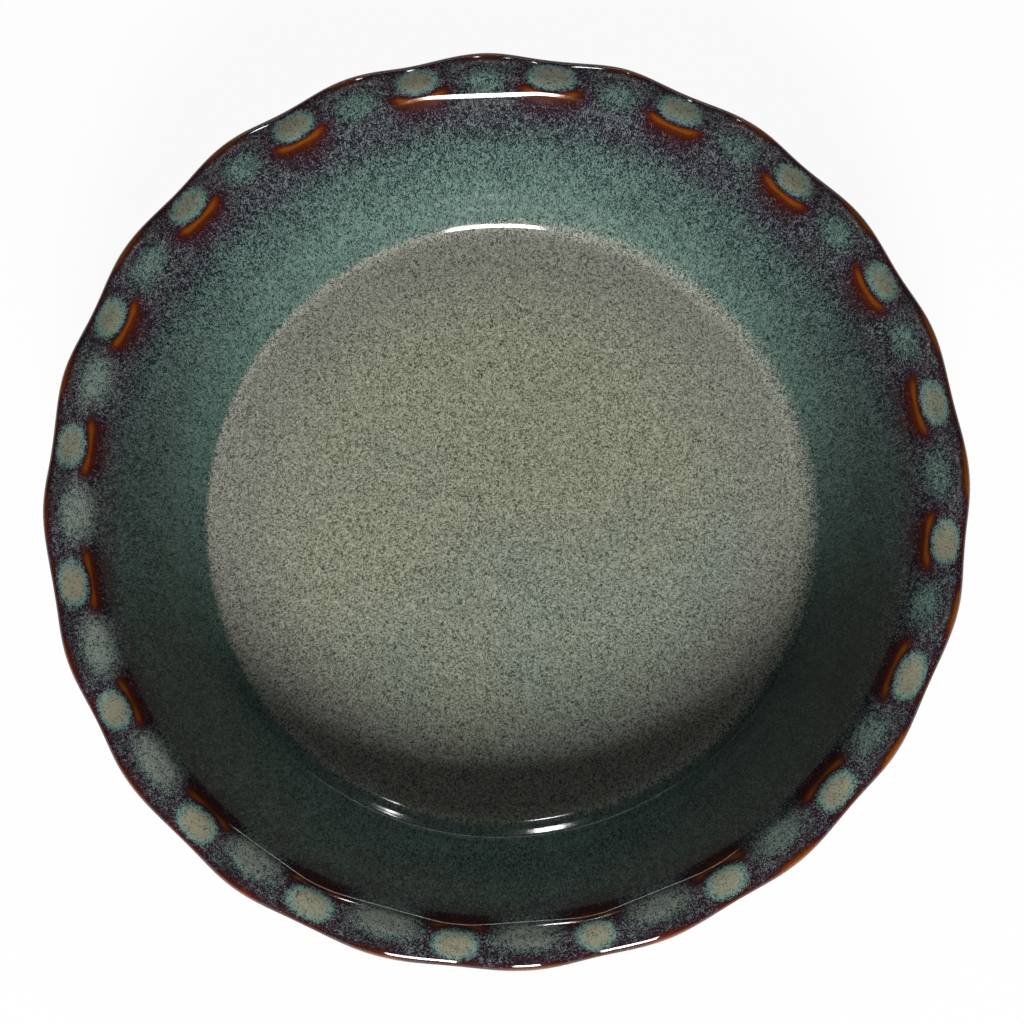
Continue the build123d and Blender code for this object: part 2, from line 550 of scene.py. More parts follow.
        # Out of round, only ever inwards, so that the dish keeps inside its solids' box
        for sides, share_in, peak in (
            (2.0, self.oval_share, self.oval_angle),
            (3.0, self.three_sided_share, self.three_sided_angle),
        ):
            add_chain(tree, "ShaderNodeMath", known, (
                ("from peak", "SUBTRACT", "angle", peak),
                ("turn from peak", "MULTIPLY", "from peak", sides),
                ("bulge", "COSINE", "turn from peak"),
                ("short of bulge", "SUBTRACT", 1.0, "bulge"),
                ("drawn in", "MULTIPLY", "short of bulge", share_in),
                ("oval", "SUBTRACT", "oval", "drawn in"),
            ))
        add_chain(tree, "ShaderNodeMath", known, (
            ("inside edge", "SUBTRACT", "Overall Radius", "round radius"),
            ("reach", "DIVIDE", "inside edge", "Rim Width"),
            ("rim shift", "MULTIPLY", "Hand Shift", "rim_share"),
            ("share inwards", "ADD", 0.5, "hand inwards"),
            ("shift inwards", "MULTIPLY", "share inwards", "rim shift"),
            ("oval radius", "MULTIPLY", "round radius", "oval"),
            ("hand radius", "SUBTRACT", "oval radius", "shift inwards"),
            ("share down", "ADD", 0.5, "hand down"),
            ("shift down", "MULTIPLY", "share down", "rim shift"),
            ("hand height", "SUBTRACT", "even height", "shift down"),
            ("to front", "MULTIPLY", "sine", -0.5),
            ("front share", "ADD", "to front", 0.5),
            ("front", "POWER", "front share", self.side_power),
            ("push out", "MULTIPLY", "front", "out_at_front"),
            ("radius", "ADD", "hand radius", "push out"),
            ("back share", "SUBTRACT", 0.5, "to front"),
            ("back", "POWER", "back share", self.side_power),
            ("push up", "MULTIPLY", "back", "up_at_back"),
            ("height", "ADD", "hand height", "push up"),
            ("right", "MULTIPLY", "radius", "cosine"),
            ("away", "MULTIPLY", "radius", "sine"),
        ))
        turned = add_node(
            tree, "ShaderNodeCombineXYZ", {"X": known["right"], "Y": known["away"], "Z": known["height"]}
        ).outputs["Vector"]

        # Keep what the glaze needs, before the points move
        for zone in (Zone.WAVE, Zone.REACH):
            geometry = add_node(
                tree,
                "GeometryNodeStoreNamedAttribute",
                {"Geometry": geometry, "Name": zone.value, "Value": known[zone.value]},
                data_type="FLOAT",
                domain="POINT",
            ).outputs["Geometry"]
        for kind, inputs in (
            ("GeometryNodeSetPosition", {"Position": turned}),
            ("GeometryNodeMergeByDistance", {"Distance": self.weld}),
            ("GeometryNodeSetShadeSmooth", {}),
            ("GeometryNodeRealizeInstances", {}),
            ("GeometryNodeSetMaterial", {"Material": known["Glaze"]}),
        ):
            geometry = add_node(tree, kind, {"Geometry": geometry} | inputs).outputs["Geometry"]
        add_node(tree, "NodeGroupOutput", {"Geometry": geometry})
        return tree

    def held_values(self, section: Outline) -> dict[Held, np.ndarray]:
        """Works out what the points of a half section hold for the tree.

        Args:
            section: The half section.

        Returns:
            One value or one place for each point, by attribute.
        """
        form = self.form
        places = {
            Held.AT_PINCH: np.pad(section.at_pinch, ((0, 0), (0, 1))),
            Held.AT_LOBE: np.pad(section.at_lobe, ((0, 0), (0, 1))),
        }
        heights = (section.at_pinch[:, 1] + section.at_lobe[:, 1]) / 2
        low, high = (form.overall_height - form.rim_depth * share for share in self.stray_shares)

        radius, height = section.at_pinch.T
        above, across = height - form.floor_height, radius - form.floor_radius
        inside = (above > -self.moving_depth) & (radius < form.wall_radius(height) + form.wall_thickness / 2)
        follows = np.clip(radius / form.floor_radius, 0, 1) ** self.floor_power
        start, end = self.front_fade
        out = follows * np.clip((end - above) / (end - start), 0, 1) * inside
        near_step = swell((across - self.step_middle) / self.step_width)
        up = near_step * smooth_step(*self.back_fade, above) * inside
        return places | {
            Held.RIM_SHARE: np.clip((heights - low) / (high - low), 0, 1),
            Held.OUT_AT_FRONT: self.front_shift * out,
            Held.UP_AT_BACK: self.back_lift * up,
        }

    def turn(
        self, name: str, section: Outline, steps: int, material: bpy.types.Material
    ) -> bpy.types.Object:
        """Carries a half section round the axis.

        Args:
            name: The piece's name.
            section: The half section, drawn from the axis or closed on itself.
            steps: How many columns the turn gets.
            material: The finish.

        Returns:
            A closed mesh piece.
        """
        line = bpy.data.meshes.new(name + "_section")
        points = range(len(section.at_pinch))
        line.from_pydata([(float(point), 0.0, 0.0) for point in points], list(zip(points, points[1:])), [])
        for held, values in self.held_values(section).items():
            store(line, held, values)

        carrier = bpy.data.objects.new(name + "_carrier", line)
        bpy.context.scene.collection.objects.link(carrier)
        modifier = carrier.modifiers.new("pinches", "NODES")
        modifier.node_group = self.tree()
        values = {
            "Steps": steps,
            "Pinches": self.form.pinch_count,
            "First Pinch": self.form.first_pinch_angle,
            "Overall Radius": self.form.overall_radius,
            "Rim Width": self.form.rim_width,
            "Hand Share": self.hand_share,
            "Hand Shift": self.hand_shift,
            "Seed": self.seed,
            "Glaze": material,
        }
        for item in modifier.node_group.interface.items_tree:
            if item.name in values:
                modifier[item.identifier] = values[item.name]
        bpy.context.view_layer.update()
        evaluated = carrier.evaluated_get(bpy.context.evaluated_depsgraph_get())
        mesh = bpy.data.meshes.new_from_object(evaluated)
        mesh.name = name
        bpy.data.objects.remove(carrier)
        bpy.data.meshes.remove(line)
        face_outwards(mesh)
        piece = bpy.data.objects.new(name, mesh)
        bpy.context.scene.collection.objects.link(piece)
        return piece


def face_outwards(mesh: bpy.types.Mesh) -> None:
    """Turns a closed mesh's faces outwards and stops if it isn't closed.

    Args:
        mesh: The mesh, whose faces all run the same way.
    """
    work = bmesh.new()
    work.from_mesh(mesh)
    bmesh.ops.dissolve_degenerate(work, edges=work.edges, dist=SHORTEST_EDGE)
    open_edges = sum(1 for edge in work.edges if not edge.is_manifold)
    if open_edges:
        raise ValueError(f"{mesh.name} has {open_edges} open edges")
    if work.calc_volume(signed=True) < 0:
        bmesh.ops.reverse_faces(work, faces=work.faces)
    work.to_mesh(mesh)
    work.free()


def vertex_values(mesh: bpy.types.Mesh, zone: Zone) -> np.ndarray:
    """Reads one value for each point of a mesh.

    Args:
        mesh: The mesh.
        zone: The attribute that holds the values.

    Returns:
        The values.
    """
    values = np.zeros(len(mesh.vertices), np.float32)
    mesh.attributes[zone.value].data.foreach_get("value", values)
    return values.astype(float)


def vertex_places(mesh: bpy.types.Mesh) -> np.ndarray:
    """Reads where a mesh's points lie.

    Args:
        mesh: The mesh.

    Returns:
        One place for each point.
    """
    places = np.zeros(len(mesh.vertices) * 3, np.float32)
    mesh.vertices.foreach_get("co", places)
    return places.reshape(-1, 3).astype(float)


def store(mesh: bpy.types.Mesh, attribute: Held | Zone, values: np.ndarray) -> None:
    """Stores one value or one place for each point of a mesh.

    Args:
        mesh: The mesh.
        attribute: What they are stored as.
        values: The values or places.
    """
    kind, field = ("FLOAT_VECTOR", "vector") if values.ndim > 1 else ("FLOAT", "value")
    held = mesh.attributes.new(attribute.value, kind, "POINT")
    held.data.foreach_set(field, values.astype(np.float32).ravel())


def unrolled(form: DishForm, places: np.ndarray) -> np.ndarray:
    """Lays the surface out for its flecks: flat over the floor, and round a drum up the wall.

    Args:
        form: The dish's sizes.
        places: The surface's points.

    Returns:
        One place for each point. Up the wall a length counts for less.
    """
    radius = np.hypot(places[:, 0], places[:, 1])
    drum = np.minimum(radius, form.floor_radius) / np.maximum(radius, LEAST_LENGTH)
    up = np.maximum(radius - form.floor_radius, 0) * FLECK_RUN + places[:, 2] * FLECK_RISE
    return np.stack([places[:, 0] * drum, places[:, 1] * drum, up], axis=1)


def smooth_step(low: float | np.ndarray, high: float | np.ndarray, values: np.ndarray) -> np.ndarray:
    """Runs smoothly from 0 at low to 1 at high."""
    share = np.clip((values - low) / (high - low), 0, 1)
    return share * share * (3 - 2 * share)


def swell(distance: np.ndarray) -> np.ndarray:
    """A soft hill: 1 at a distance of 0, a third at 1 and almost nothing at 2."""
    steepness = 1.1
    return np.exp(-(distance**2) * steepness)


def between(pair: Pair, share: np.ndarray) -> np.ndarray:
    """Mixes the values of a pair: a share of 0 gives the first and 1 the second."""
    first, second = pair
    return first + (second - first) * share


# Finishes


@dataclass(frozen=True)
class ReactiveGlaze:
    """Fired reactive glaze, dipped: glassy and smooth, a dark ground full of pale crystals.

    It breaks to amber and maroon where it runs thin over an edge, floats lavender and teal down the wall,
    and pools cream in the hollows and khaki on the floor.
    """

    name: str
    # Colours from the thinnest glaze to the deepest pool: the glass, and the crystals in it
    ground_stops: Stops = (
        (0.00, "#6f3c0e"), (0.10, "#57240b"), (0.20, "#36130e"), (0.30, "#281519"), (0.40, "#1e181f"),
        (0.50, "#191a1e"), (0.60, "#1b2626"), (0.74, "#283a35"), (0.86, "#384a42"), (0.94, "#484d42"),
        (1.00, "#4c493c"),
    )
    crystal_stops: Stops = (
        (0.00, "#96601c"), (0.10, "#7d4212"), (0.20, "#5a2d24"), (0.30, "#664c4f"), (0.40, "#655b62"),
        (0.50, "#67696d"), (0.60, "#5e6f6c"), (0.74, "#687f77"), (0.86, "#6e857c"), (0.94, "#7e7f6d"),
        (1.00, "#857f68"),
    )
    floor_ground: str = "#383b31"
    floor_crystal: str = "#b1b39b"
    # The cooler clouds, which also paint the shadow on the front of the floor
    cloud_and_shadow_ground: str = "#333b36"
    cloud_and_shadow_crystal: str = "#9daa9c"
    band_ground: str = "#40413c"
    band_crystal: str = "#a3a497"
    milk_ground: str = "#3d4240"
    milk_crystal: str = "#8f9287"
    cool_and_shadowed_side: tuple[float, float, float] = (1.2, -4.2, 0.0)    # per metre, where the floor turns cooler, and darker at the front as painted shadow
    roughness: float = 0.075
    refraction: float = 1.52            # lead-free stoneware glaze, as plate glass
    fleck_width: float = 0.62 * MILLIMETRE
    blotch_width: float = 6.0 * MILLIMETRE
    cloud_width: float = 48.0 * MILLIMETRE
    ripple_width: float = 5.0 * MILLIMETRE
    fleck_warp: float = 1.9
    noise_roughness: float = 0.6
    # How much of a glaze's depth the blotches and the flecks stir
    blotch_stir: float = 0.16
    fleck_stir: float = 0.24
    # How much the depth and the milkiness feed the crystals, and the painted-shade sides thin them out
    fed_by_depth: float = 0.34
    fed_by_milk: float = 0.06
    painted_shade_strength: float = 0.72
    floor_raggedness: float = 0.9
    # Between which values of its noise each pattern appears
    crystal_range: Pair = (0.65, 0.82)
    grit_range: Pair = (0.41, 0.58)
    cloud_range: Pair = (0.44, 0.86)
    floor_range: Pair = (0.75, 1.15)
    # Strength and height of the bumps
    ripple_bump: Pair = (0.35, 0.045 * MILLIMETRE)
    fleck_bump: Pair = (0.25, 0.01 * MILLIMETRE)

    def material(self) -> bpy.types.Material:
        """Builds the glaze's shader.

        Returns:
            The material, which reads the piece's own attributes.
        """
        material = bpy.data.materials.new(self.name)
        material.use_nodes = True
        tree = material.node_tree
        tree.nodes.clear()
        known = {
            zone.value: add_node(tree, "ShaderNodeAttribute", attribute_name=zone.value).outputs["Fac"]
            for zone in (Zone.POOL, Zone.FLOOR, Zone.BAND, Zone.PAINTED_SHADE, Zone.MILK)
        }
        place = add_node(tree, "ShaderNodeAttribute", attribute_name=Zone.PLACE.value).outputs["Vector"]

        # Crystals at their real width, slower blotches, and clouds as wide as a hand
        for name, width, detail, warp in (
            ("flecks", self.fleck_width, 1.0, self.fleck_warp),
            ("blotches", self.blotch_width, 3.0, 0.0),
            ("clouds", self.cloud_width, 2.0, 0.0),
            ("ripples", self.ripple_width, 2.0, 0.0),
        ):
            known[name] = add_node(
                tree,
                "ShaderNodeTexNoise",
                {
                    "Vector": place,
                    "Scale": 1 / width,
                    "Detail": detail,
                    "Roughness": self.noise_roughness,
                    "Distortion": warp,
                },
            ).outputs[0]
        # Painted shadow: the floor drifts to the darker, cooler clouds towards the front
        known["aside"] = add_node(
            tree, "ShaderNodeVectorMath", {0: place, 1: self.cool_and_shadowed_side}, operation="DOT_PRODUCT"
        ).outputs["Value"]

        # The depth of the glaze is stirred, and the deeper it lies the more crystals it grows
        add_chain(tree, "ShaderNodeMath", known, (
            ("stir", "MULTIPLY_ADD", "blotches", self.blotch_stir, -self.blotch_stir / 2),
            ("stirred", "ADD", "stir", "pool"),
            ("stirred twice", "MULTIPLY_ADD", "flecks", self.fleck_stir, "stirred"),
            ("depth", "SUBTRACT", "stirred twice", self.fleck_stir / 2),
            ("fed", "MULTIPLY_ADD", "stirred", self.fed_by_depth, "flecks"),
            ("grown", "MULTIPLY_ADD", "milkiness", self.fed_by_milk, "fed"),
            # fewer crystals on the sides painted darker as shade
            ("left", "MULTIPLY_ADD", "painted_shade_side", -self.painted_shade_strength, 1.0),
            ("drift", "ADD", "clouds", "aside"),
            ("ragged", "MULTIPLY_ADD", "flecks", self.floor_raggedness, "floor"),
        ))
        for name, source, (low, high) in (
            ("crowd", "grown", self.crystal_range),
            ("grit", "flecks", self.grit_range),
            ("cloudy", "drift", self.cloud_range),
            ("on floor", "ragged", self.floor_range),
        ):
            known[name] = add_node(
                tree, "ShaderNodeMapRange", {"Value": known[source], "From Min": low, "From Max": high}
            ).outputs[0]
        add_chain(tree, "ShaderNodeMath", known, [("grain", "MULTIPLY", "crowd", "left")])

        # The wall's colours follow the depth. The floor drifts from khaki to a cooler grey on one side, and
        # to a darker, cooler grey at the front as painted shadow, and it greys round its edge.
        for name, stops in (("ground ramp", self.ground_stops), ("crystal ramp", self.crystal_stops)):
            ramp = add_node(tree, "ShaderNodeValToRGB", {"Fac": known["depth"]}, stops=stops)
            known[name] = ramp.outputs["Color"]
        for name, share, *colours in (
            ("ground", "milkiness", "ground ramp", self.milk_ground),
            ("crystal", "milkiness", "crystal ramp", self.milk_crystal),
            ("wall", "grain", "ground", "crystal"),
            ("drifted ground", "cloudy", self.floor_ground, self.cloud_and_shadow_ground),
            ("drifted crystal", "cloudy", self.floor_crystal, self.cloud_and_shadow_crystal),
            ("floor ground", "floor_band", "drifted ground", self.band_ground),
            ("floor crystal", "floor_band", "drifted crystal", self.band_crystal),
            ("bottom", "grit", "floor ground", "floor crystal"),
            ("colour", "on floor", "wall", "bottom"),
        ):
            first, second = (known[colour] if colour in known else linear(colour) for colour in colours)
            known[name] = add_node(
                tree, "ShaderNodeMix", {"Factor": known[share], 6: first, 7: second}, data_type="RGBA"
            ).outputs[2]

        # The glassy surface ripples a little, and the crystals stand just proud of it
        normal = {}
        for name, (strength, height) in (("ripples", self.ripple_bump), ("flecks", self.fleck_bump)):
            bump = {"Height": known[name], "Strength": strength, "Distance": height} | normal
            normal = {"Normal": add_node(tree, "ShaderNodeBump", bump).outputs["Normal"]}
        glass = {"Base Color": known["colour"], "Roughness": self.roughness, "IOR": self.refraction}
        shader = add_node(tree, "ShaderNodeBsdfPrincipled", glass | normal).outputs["BSDF"]
        add_node(tree, "ShaderNodeOutputMaterial", {"Surface": shader})
        return material


@dataclass(frozen=True)
class BareStoneware:
    """Fired stoneware clay left bare on the foot: matt, warm grey and gritty from its grog."""

    name: str = "bare_stoneware"
    clay: str = "#b3a58d"
    shade: str = "#94836a"
    grog: str = "#5b4a3a"
    roughness: float = 0.82
    refraction: float = 1.5
    cloud_width: float = 25 / 3 * MILLIMETRE
    grog_spacing: float = 1.4 * MILLIMETRE
    grog_edge_shares: Pair = (0.22, 0.12)       # of the spacing, where a grain starts and is full
    grog_strength: float = 0.8
    grog_bump: Pair = (0.5, 0.08 * MILLIMETRE)  # strength and height

    def material(self) -> bpy.types.Material:
        """Builds the clay's shader.

        Returns:
            The material, on object coordinates.
        """
        material = bpy.data.materials.new(self.name)
        material.use_nodes = True
        tree = material.node_tree
        tree.nodes.clear()
        place = add_node(tree, "ShaderNodeTexCoord").outputs["Object"]
        cloud = add_node(
            tree, "ShaderNodeTexNoise", {"Vector": place, "Scale": 1 / self.cloud_width, "Detail": 4.0}
        ).outputs[0]
        body = add_node(
            tree,
            "ShaderNodeMix",
            {"Factor": cloud, 6: linear(self.shade), 7: linear(self.clay)},
            data_type="RGBA",
        ).outputs[2]
        grit = add_node(
            tree, "ShaderNodeTexVoronoi", {"Vector": place, "Scale": 1 / self.grog_spacing}
        ).outputs["Distance"]
        edge, core = self.grog_edge_shares
        dots = add_node(
            tree,
            "ShaderNodeMapRange",
            {"Value": grit, "From Min": edge, "From Max": core, "To Max": self.grog_strength},
        ).outputs[0]
        colour = add_node(
            tree, "ShaderNodeMix", {"Factor": dots, 6: body, 7: linear(self.grog)}, data_type="RGBA"
        ).outputs[2]
        strength, height = self.grog_bump
        bump = add_node(
            tree, "ShaderNodeBump", {"Height": grit, "Strength": strength, "Distance": height}
        ).outputs["Normal"]
        shader = add_node(
            tree,
            "ShaderNodeBsdfPrincipled",
            {"Base Color": colour, "Roughness": self.roughness, "IOR": self.refraction, "Normal": bump},
        ).outputs["BSDF"]
        add_node(tree, "ShaderNodeOutputMaterial", {"Surface": shader})
        return material


# The pieces


@dataclass(frozen=True)
class Patch:
    """A soft-edged patch of the rim's pattern. Its pairs hold for the plain and the poured side."""

    half_turn: Pair         # in the pinches' wave, where pi is half way to the next pinch
    middle: float           # a reach
    half_reach: Pair

    def distance(self, turned: np.ndarray, reach: np.ndarray, poured: np.ndarray) -> np.ndarray:
        """How far points lie from the patch's middle, where 1 is its edge."""
        across, along = between(self.half_turn, poured), between(self.half_reach, poured)
        return np.hypot(turned / across, (reach - self.middle) / along)


@dataclass(frozen=True)
class InsideGlaze:
    """The coat over the floor, the wall and the top of the rim, out to its widest line.

    How deep it lies follows the reach, which is 0 at the rim's widest line and 1 at the lip, and the turn
    from the nearest pinch. A fade holds the values at which something starts and is full. A pair of sides
    holds a value for the plain side of the dish and one for the side where the glaze was poured.
    """

    form: DishForm
    rule: PinchRule
    steps: int = 640
    wall_rows: int = 22
    back_step: int = 4                          # the coat's back has one point for so many of its face
    wall_start: float = 2.0 * MILLIMETRE        # above the corner's last point
    wall_ease: float = 0.9 * MILLIMETRE         # how far the wall's foot stands outside a straight line
    lip_ease: int = 5                           # points that are rounded off on each side of the lip
    floor_ring_shares: tuple[float, ...] = (
        0, 0.03, 0.08, 0.16, 0.26, 0.38, 0.5, 0.62, 0.74, 0.84, 0.91, 0.955
    )
    # A ring is pressed into the corner: two tight bends with a flatter step between them. The points are
    # in millimetres, out from the floor's radius and up from its height.
    corner: tuple[Pair, ...] = (
        (-3.6, 0.03), (-2.6, 0.16), (-1.8, 0.42), (-1.1, 0.84), (-0.4, 1.40), (0.35, 2.02),
        (1.15, 2.55), (2.0, 3.0), (2.75, 3.42), (3.2, 3.82), (3.65, 4.4), (4.15, 5.1),
        (4.75, 6.0), (5.4, 7.0), (6.0, 7.9), (6.6, 8.75),
    )

    # Where the glaze was poured and lies thickest on the rim, and where the floor's colour runs out softly
    poured_side: float = math.radians(238)
    soft_side: float = math.radians(15)
    side_fade: Pair = (-0.3, 0.9)
    # Middle, half width and strength of the wall's sides that are painted darker as shade
    painted_shade_sides: tuple[tuple[float, float, float], ...] = (
        (math.radians(-22), math.radians(46), 1.0),
        (math.radians(188), math.radians(36), 0.6),
    )
    painted_shade_fade: Pair = (1.0, 1.5)
    painted_shade_depth: float = -0.05
    # Down the wall the glaze grows deeper, and sooner on its poured side and on the sides that are
    # painted darker as shade. The fades are in millimetres below the lip. The upper one has a pair for
    # its start, away from those sides and on them, and a pair for its end.
    lip_depth: float = 0.50
    upper_depth: float = 0.15
    upper_fade: tuple[Pair, Pair] = ((1.5, -1.5), (9.0, 5.0))
    lower_depth: float = 0.10
    lower_fade: Pair = (8.0, 22.0)
    # A round pool in the hollow of every pinch, with a darker ring round it on the rim
    dot: Patch = Patch((1.28, 1.18), 0.51, (0.35, 0.38))
    dot_depth: float = 0.34
    dot_fade: Pair = (1.00, 0.68)
    core_depth: float = 0.10
    core_fade: Pair = (0.84, 0.36)
    halo_depth: float = -0.12
    halo: Pair = (1.12, 0.16)                   # distance and width
    halo_end: float = 0.9
    # A mottled pool behind every lobe, which spills over the lip and turns milky on the poured side
    mottle: Patch = Patch((1.05, 1.05), 0.68, (0.28, 0.28))
    mottle_depth: Pair = (0.18, 0.12)
    mottle_fade: Pair = (1.2, 0.4)
    spill: Patch = Patch((1.9, 1.9), 0.74, (0.38, 0.38))
    spill_depth: float = 0.13
    spill_fade: Pair = (1.2, 0.5)
    spill_milk: float = 0.62
    spill_milk_fade: Pair = (1.15, 0.45)
    # The crest breaks to amber at a pinch, with maroon inside it
    crest: float = 0.885
    crest_bow: Pair = (0.042, 0.026)
    pinch_fade: Pair = (2.2, 1.0)
    break_depth: float = -0.42
    break_width: float = 0.095
    maroon_depth: float = -0.19
    maroon_fades: tuple[Pair, Pair] = ((0.48, 0.14), (0.02, 0.12))
    # A mauve line arches over every lobe
    arch: float = 0.25
    arch_bow: float = 0.09
    lobe_fade: Pair = (1.3, 2.2)
    arch_depth: float = -0.14
    arch_width: float = 0.06
    arch_milk: Pair = (0.55, 0.165)
    arch_milk_width: float = 0.035
    # The outer edge is thin all round, and thinnest just inside it at the lobes
    amber_fade: Pair = (1.4, 2.7)
    amber: Pair = (1.0, 0.4)
    edge_depth: float = -0.22
    edge_amber_depth: float = -0.12
    edge_fade: Pair = (0.28, 0.12)
    amber_line: Pair = (0.09, 0.075)            # reach and width
    line_depth: float = -0.22
    outermost_depth: float = -0.22
    outermost_fade: Pair = (0.08, 0.02)
    # The reaches where the floor's colour starts and is full, away from the soft side and on it
    floor_fade: tuple[Pair, Pair] = ((2.80, 2.35), (3.12, 3.37))
    # The reaches between which the floor greys towards its edge
    band_fade: Pair = (5.2, 3.6)

    def skin(self) -> Outline:
        """Draws the finished surface.

        Returns:
            The line from the axis out to the widest line of the rim.
        """
        form = self.form
        floor = [(form.floor_radius * share, form.floor_height) for share in self.floor_ring_shares]
        corner = [
            (form.floor_radius + across * MILLIMETRE, form.floor_height + up * MILLIMETRE)
            for across, up in self.corner
        ]
        first = corner[-1][1] + self.wall_start
        heights = np.linspace(first, form.lip[1], self.wall_rows, endpoint=False)
        wall = [(form.wall_radius(height) + self.ease(height), height) for height in heights]
        rim = form.rim_line(form.lip_index, form.edge_index, form.rim_points)
        below = Outline.of_turned([*floor, *corner, *wall])
        return below.followed_by(rim).eased(len(below.at_pinch), self.lip_ease)

    def ease(self, height: float) -> float:
        """How far the lower wall stands outside the straight line up to the lip."""
        rise = (height - self.form.floor_height) / (self.form.lip[1] - self.form.floor_height)
        return self.wall_ease * max(0.0, 1 - rise) ** 2

    def build(self, glaze: bpy.types.Material) -> bpy.types.Object:
        """Builds the piece and paints the depth of its glaze.

        Args:
            glaze: The finish.

        Returns:
            The closed piece.
        """
        skin = self.skin()
        back = skin.inset(self.form.coat).thinned(self.back_step).reversed()
        back.at_pinch[-1, 0] = back.at_lobe[-1, 0] = 0.0
        piece = self.rule.turn("inside_coat", skin.followed_by(back), self.steps, glaze)
        self.paint(piece.data)
        return piece

    def paint(self, mesh: bpy.types.Mesh) -> None:
        """Stores how deep the glaze lies, where the floor is, and the unrolled surface.

        Args:
            mesh: The piece's mesh.
        """
        places, reach = vertex_places(mesh), vertex_values(mesh, Zone.REACH)
        turned = np.arccos(np.clip(vertex_values(mesh, Zone.WAVE), -1, 1))
        around = np.arctan2(places[:, 1], places[:, 0])
        poured = smooth_step(*self.side_fade, np.cos(around - self.poured_side))
        # Painted shade: the wall's darker sides get fewer crystals and a changed glaze depth
        lean = sum(
            strength * np.exp(-(((np.mod(around - middle + math.pi, math.tau) - math.pi) / width) ** 2))
            for middle, width, strength in self.painted_shade_sides
        )
        lean = np.clip(lean, 0, 1)
        on_rim, milk = self.pool_over_rim(turned, reach, poured)
        pool = self.pool_down_wall(reach, np.maximum(poured, lean)) + on_rim
        lean *= smooth_step(*self.painted_shade_fade, reach)
        pool += self.painted_shade_depth * lean
        softer = smooth_step(*self.side_fade, np.cos(around - self.soft_side))
        floor_start, floor_end = (between(pair, softer) for pair in self.floor_fade)
        for zone, values in (
            (Zone.POOL, np.clip(pool, 0, 1)),
            (Zone.FLOOR, smooth_step(floor_start, floor_end, reach)),
            (Zone.BAND, smooth_step(*self.band_fade, reach)),
            (Zone.PAINTED_SHADE, lean),
            (Zone.MILK, np.clip(milk, 0, 1)),
            (Zone.PLACE, unrolled(self.form, places)),
        ):
            store(mesh, zone, values)

    def pool_down_wall(self, reach: np.ndarray, sooner: np.ndarray) -> np.ndarray:
        """How deep the glaze lies down the wall, and at the lip all over the rim.

        Args:
            reach: The points' reach.
            sooner: 1 where the glaze grows deep near the lip, 0 where it does so lower down.

        Returns:
            One depth for each point.
        """
        form = self.form
        lip_reach = (form.overall_radius - form.lip[0]) / form.rim_width
        below_lip = np.clip(reach - lip_reach, 0, None) * form.rim_width / MILLIMETRE
        start, end = (between(pair, sooner) for pair in self.upper_fade)
        upper = self.upper_depth * smooth_step(start, end, below_lip)
        return self.lip_depth + upper + self.lower_depth * smooth_step(*self.lower_fade, below_lip)

    def pool_over_rim(
        self, turned: np.ndarray, reach: np.ndarray, poured: np.ndarray
    ) -> tuple[np.ndarray, np.ndarray]:
        """What the rim's pattern adds to the depth of the glaze, and how milky it is.

        Args:
            turned: The points' turn from the nearest pinch, up to pi half way to the next.
            reach: Their reach.
            poured: 1 on the side where the glaze was poured, 0 on the other.

        Returns:
            One depth and one milkiness for each point.
        """
        from_lobe = math.pi - turned
        dot = self.dot.distance(turned, reach, poured)
        depth = self.dot_depth * smooth_step(*self.dot_fade, dot)
        depth += self.core_depth * smooth_step(*self.core_fade, dot)
        halo, width = self.halo
        depth += self.halo_depth * swell((dot - halo) / width) * (reach < self.halo_end)

        mottle = self.mottle.distance(from_lobe, reach, poured)
        depth += between(self.mottle_depth, poured) * smooth_step(*self.mottle_fade, mottle)
        spill = self.spill.distance(from_lobe, reach, poured)
        depth += self.spill_depth * poured * smooth_step(*self.spill_fade, spill)
        milk = self.spill_milk * poured * smooth_step(*self.spill_milk_fade, spill)

        off_crest = reach - (self.crest - between(self.crest_bow, poured) * turned**2)
        pinched = smooth_step(*self.pinch_fade, turned)
        outside, inside = (smooth_step(*fade, off_crest) for fade in self.maroon_fades)
        depth += self.break_depth * swell(off_crest / self.break_width) * pinched
        depth += self.maroon_depth * outside * inside * pinched

        off_arch = reach - (self.arch + self.arch_bow * from_lobe**2)
        lobed = smooth_step(*self.lobe_fade, turned)
        depth += self.arch_depth * swell(off_arch / self.arch_width) * lobed
        milk += between(self.arch_milk, poured) * swell(off_arch / self.arch_milk_width) * lobed

        amber = smooth_step(*self.amber_fade, turned) * between(self.amber, poured)
        line, width = self.amber_line
        depth += (self.edge_depth + self.edge_amber_depth * amber) * smooth_step(*self.edge_fade, reach)
        depth += self.line_depth * amber * swell((reach - line) / width)
        depth += self.outermost_depth * poured * smooth_step(*self.outermost_fade, reach)
        return depth, milk


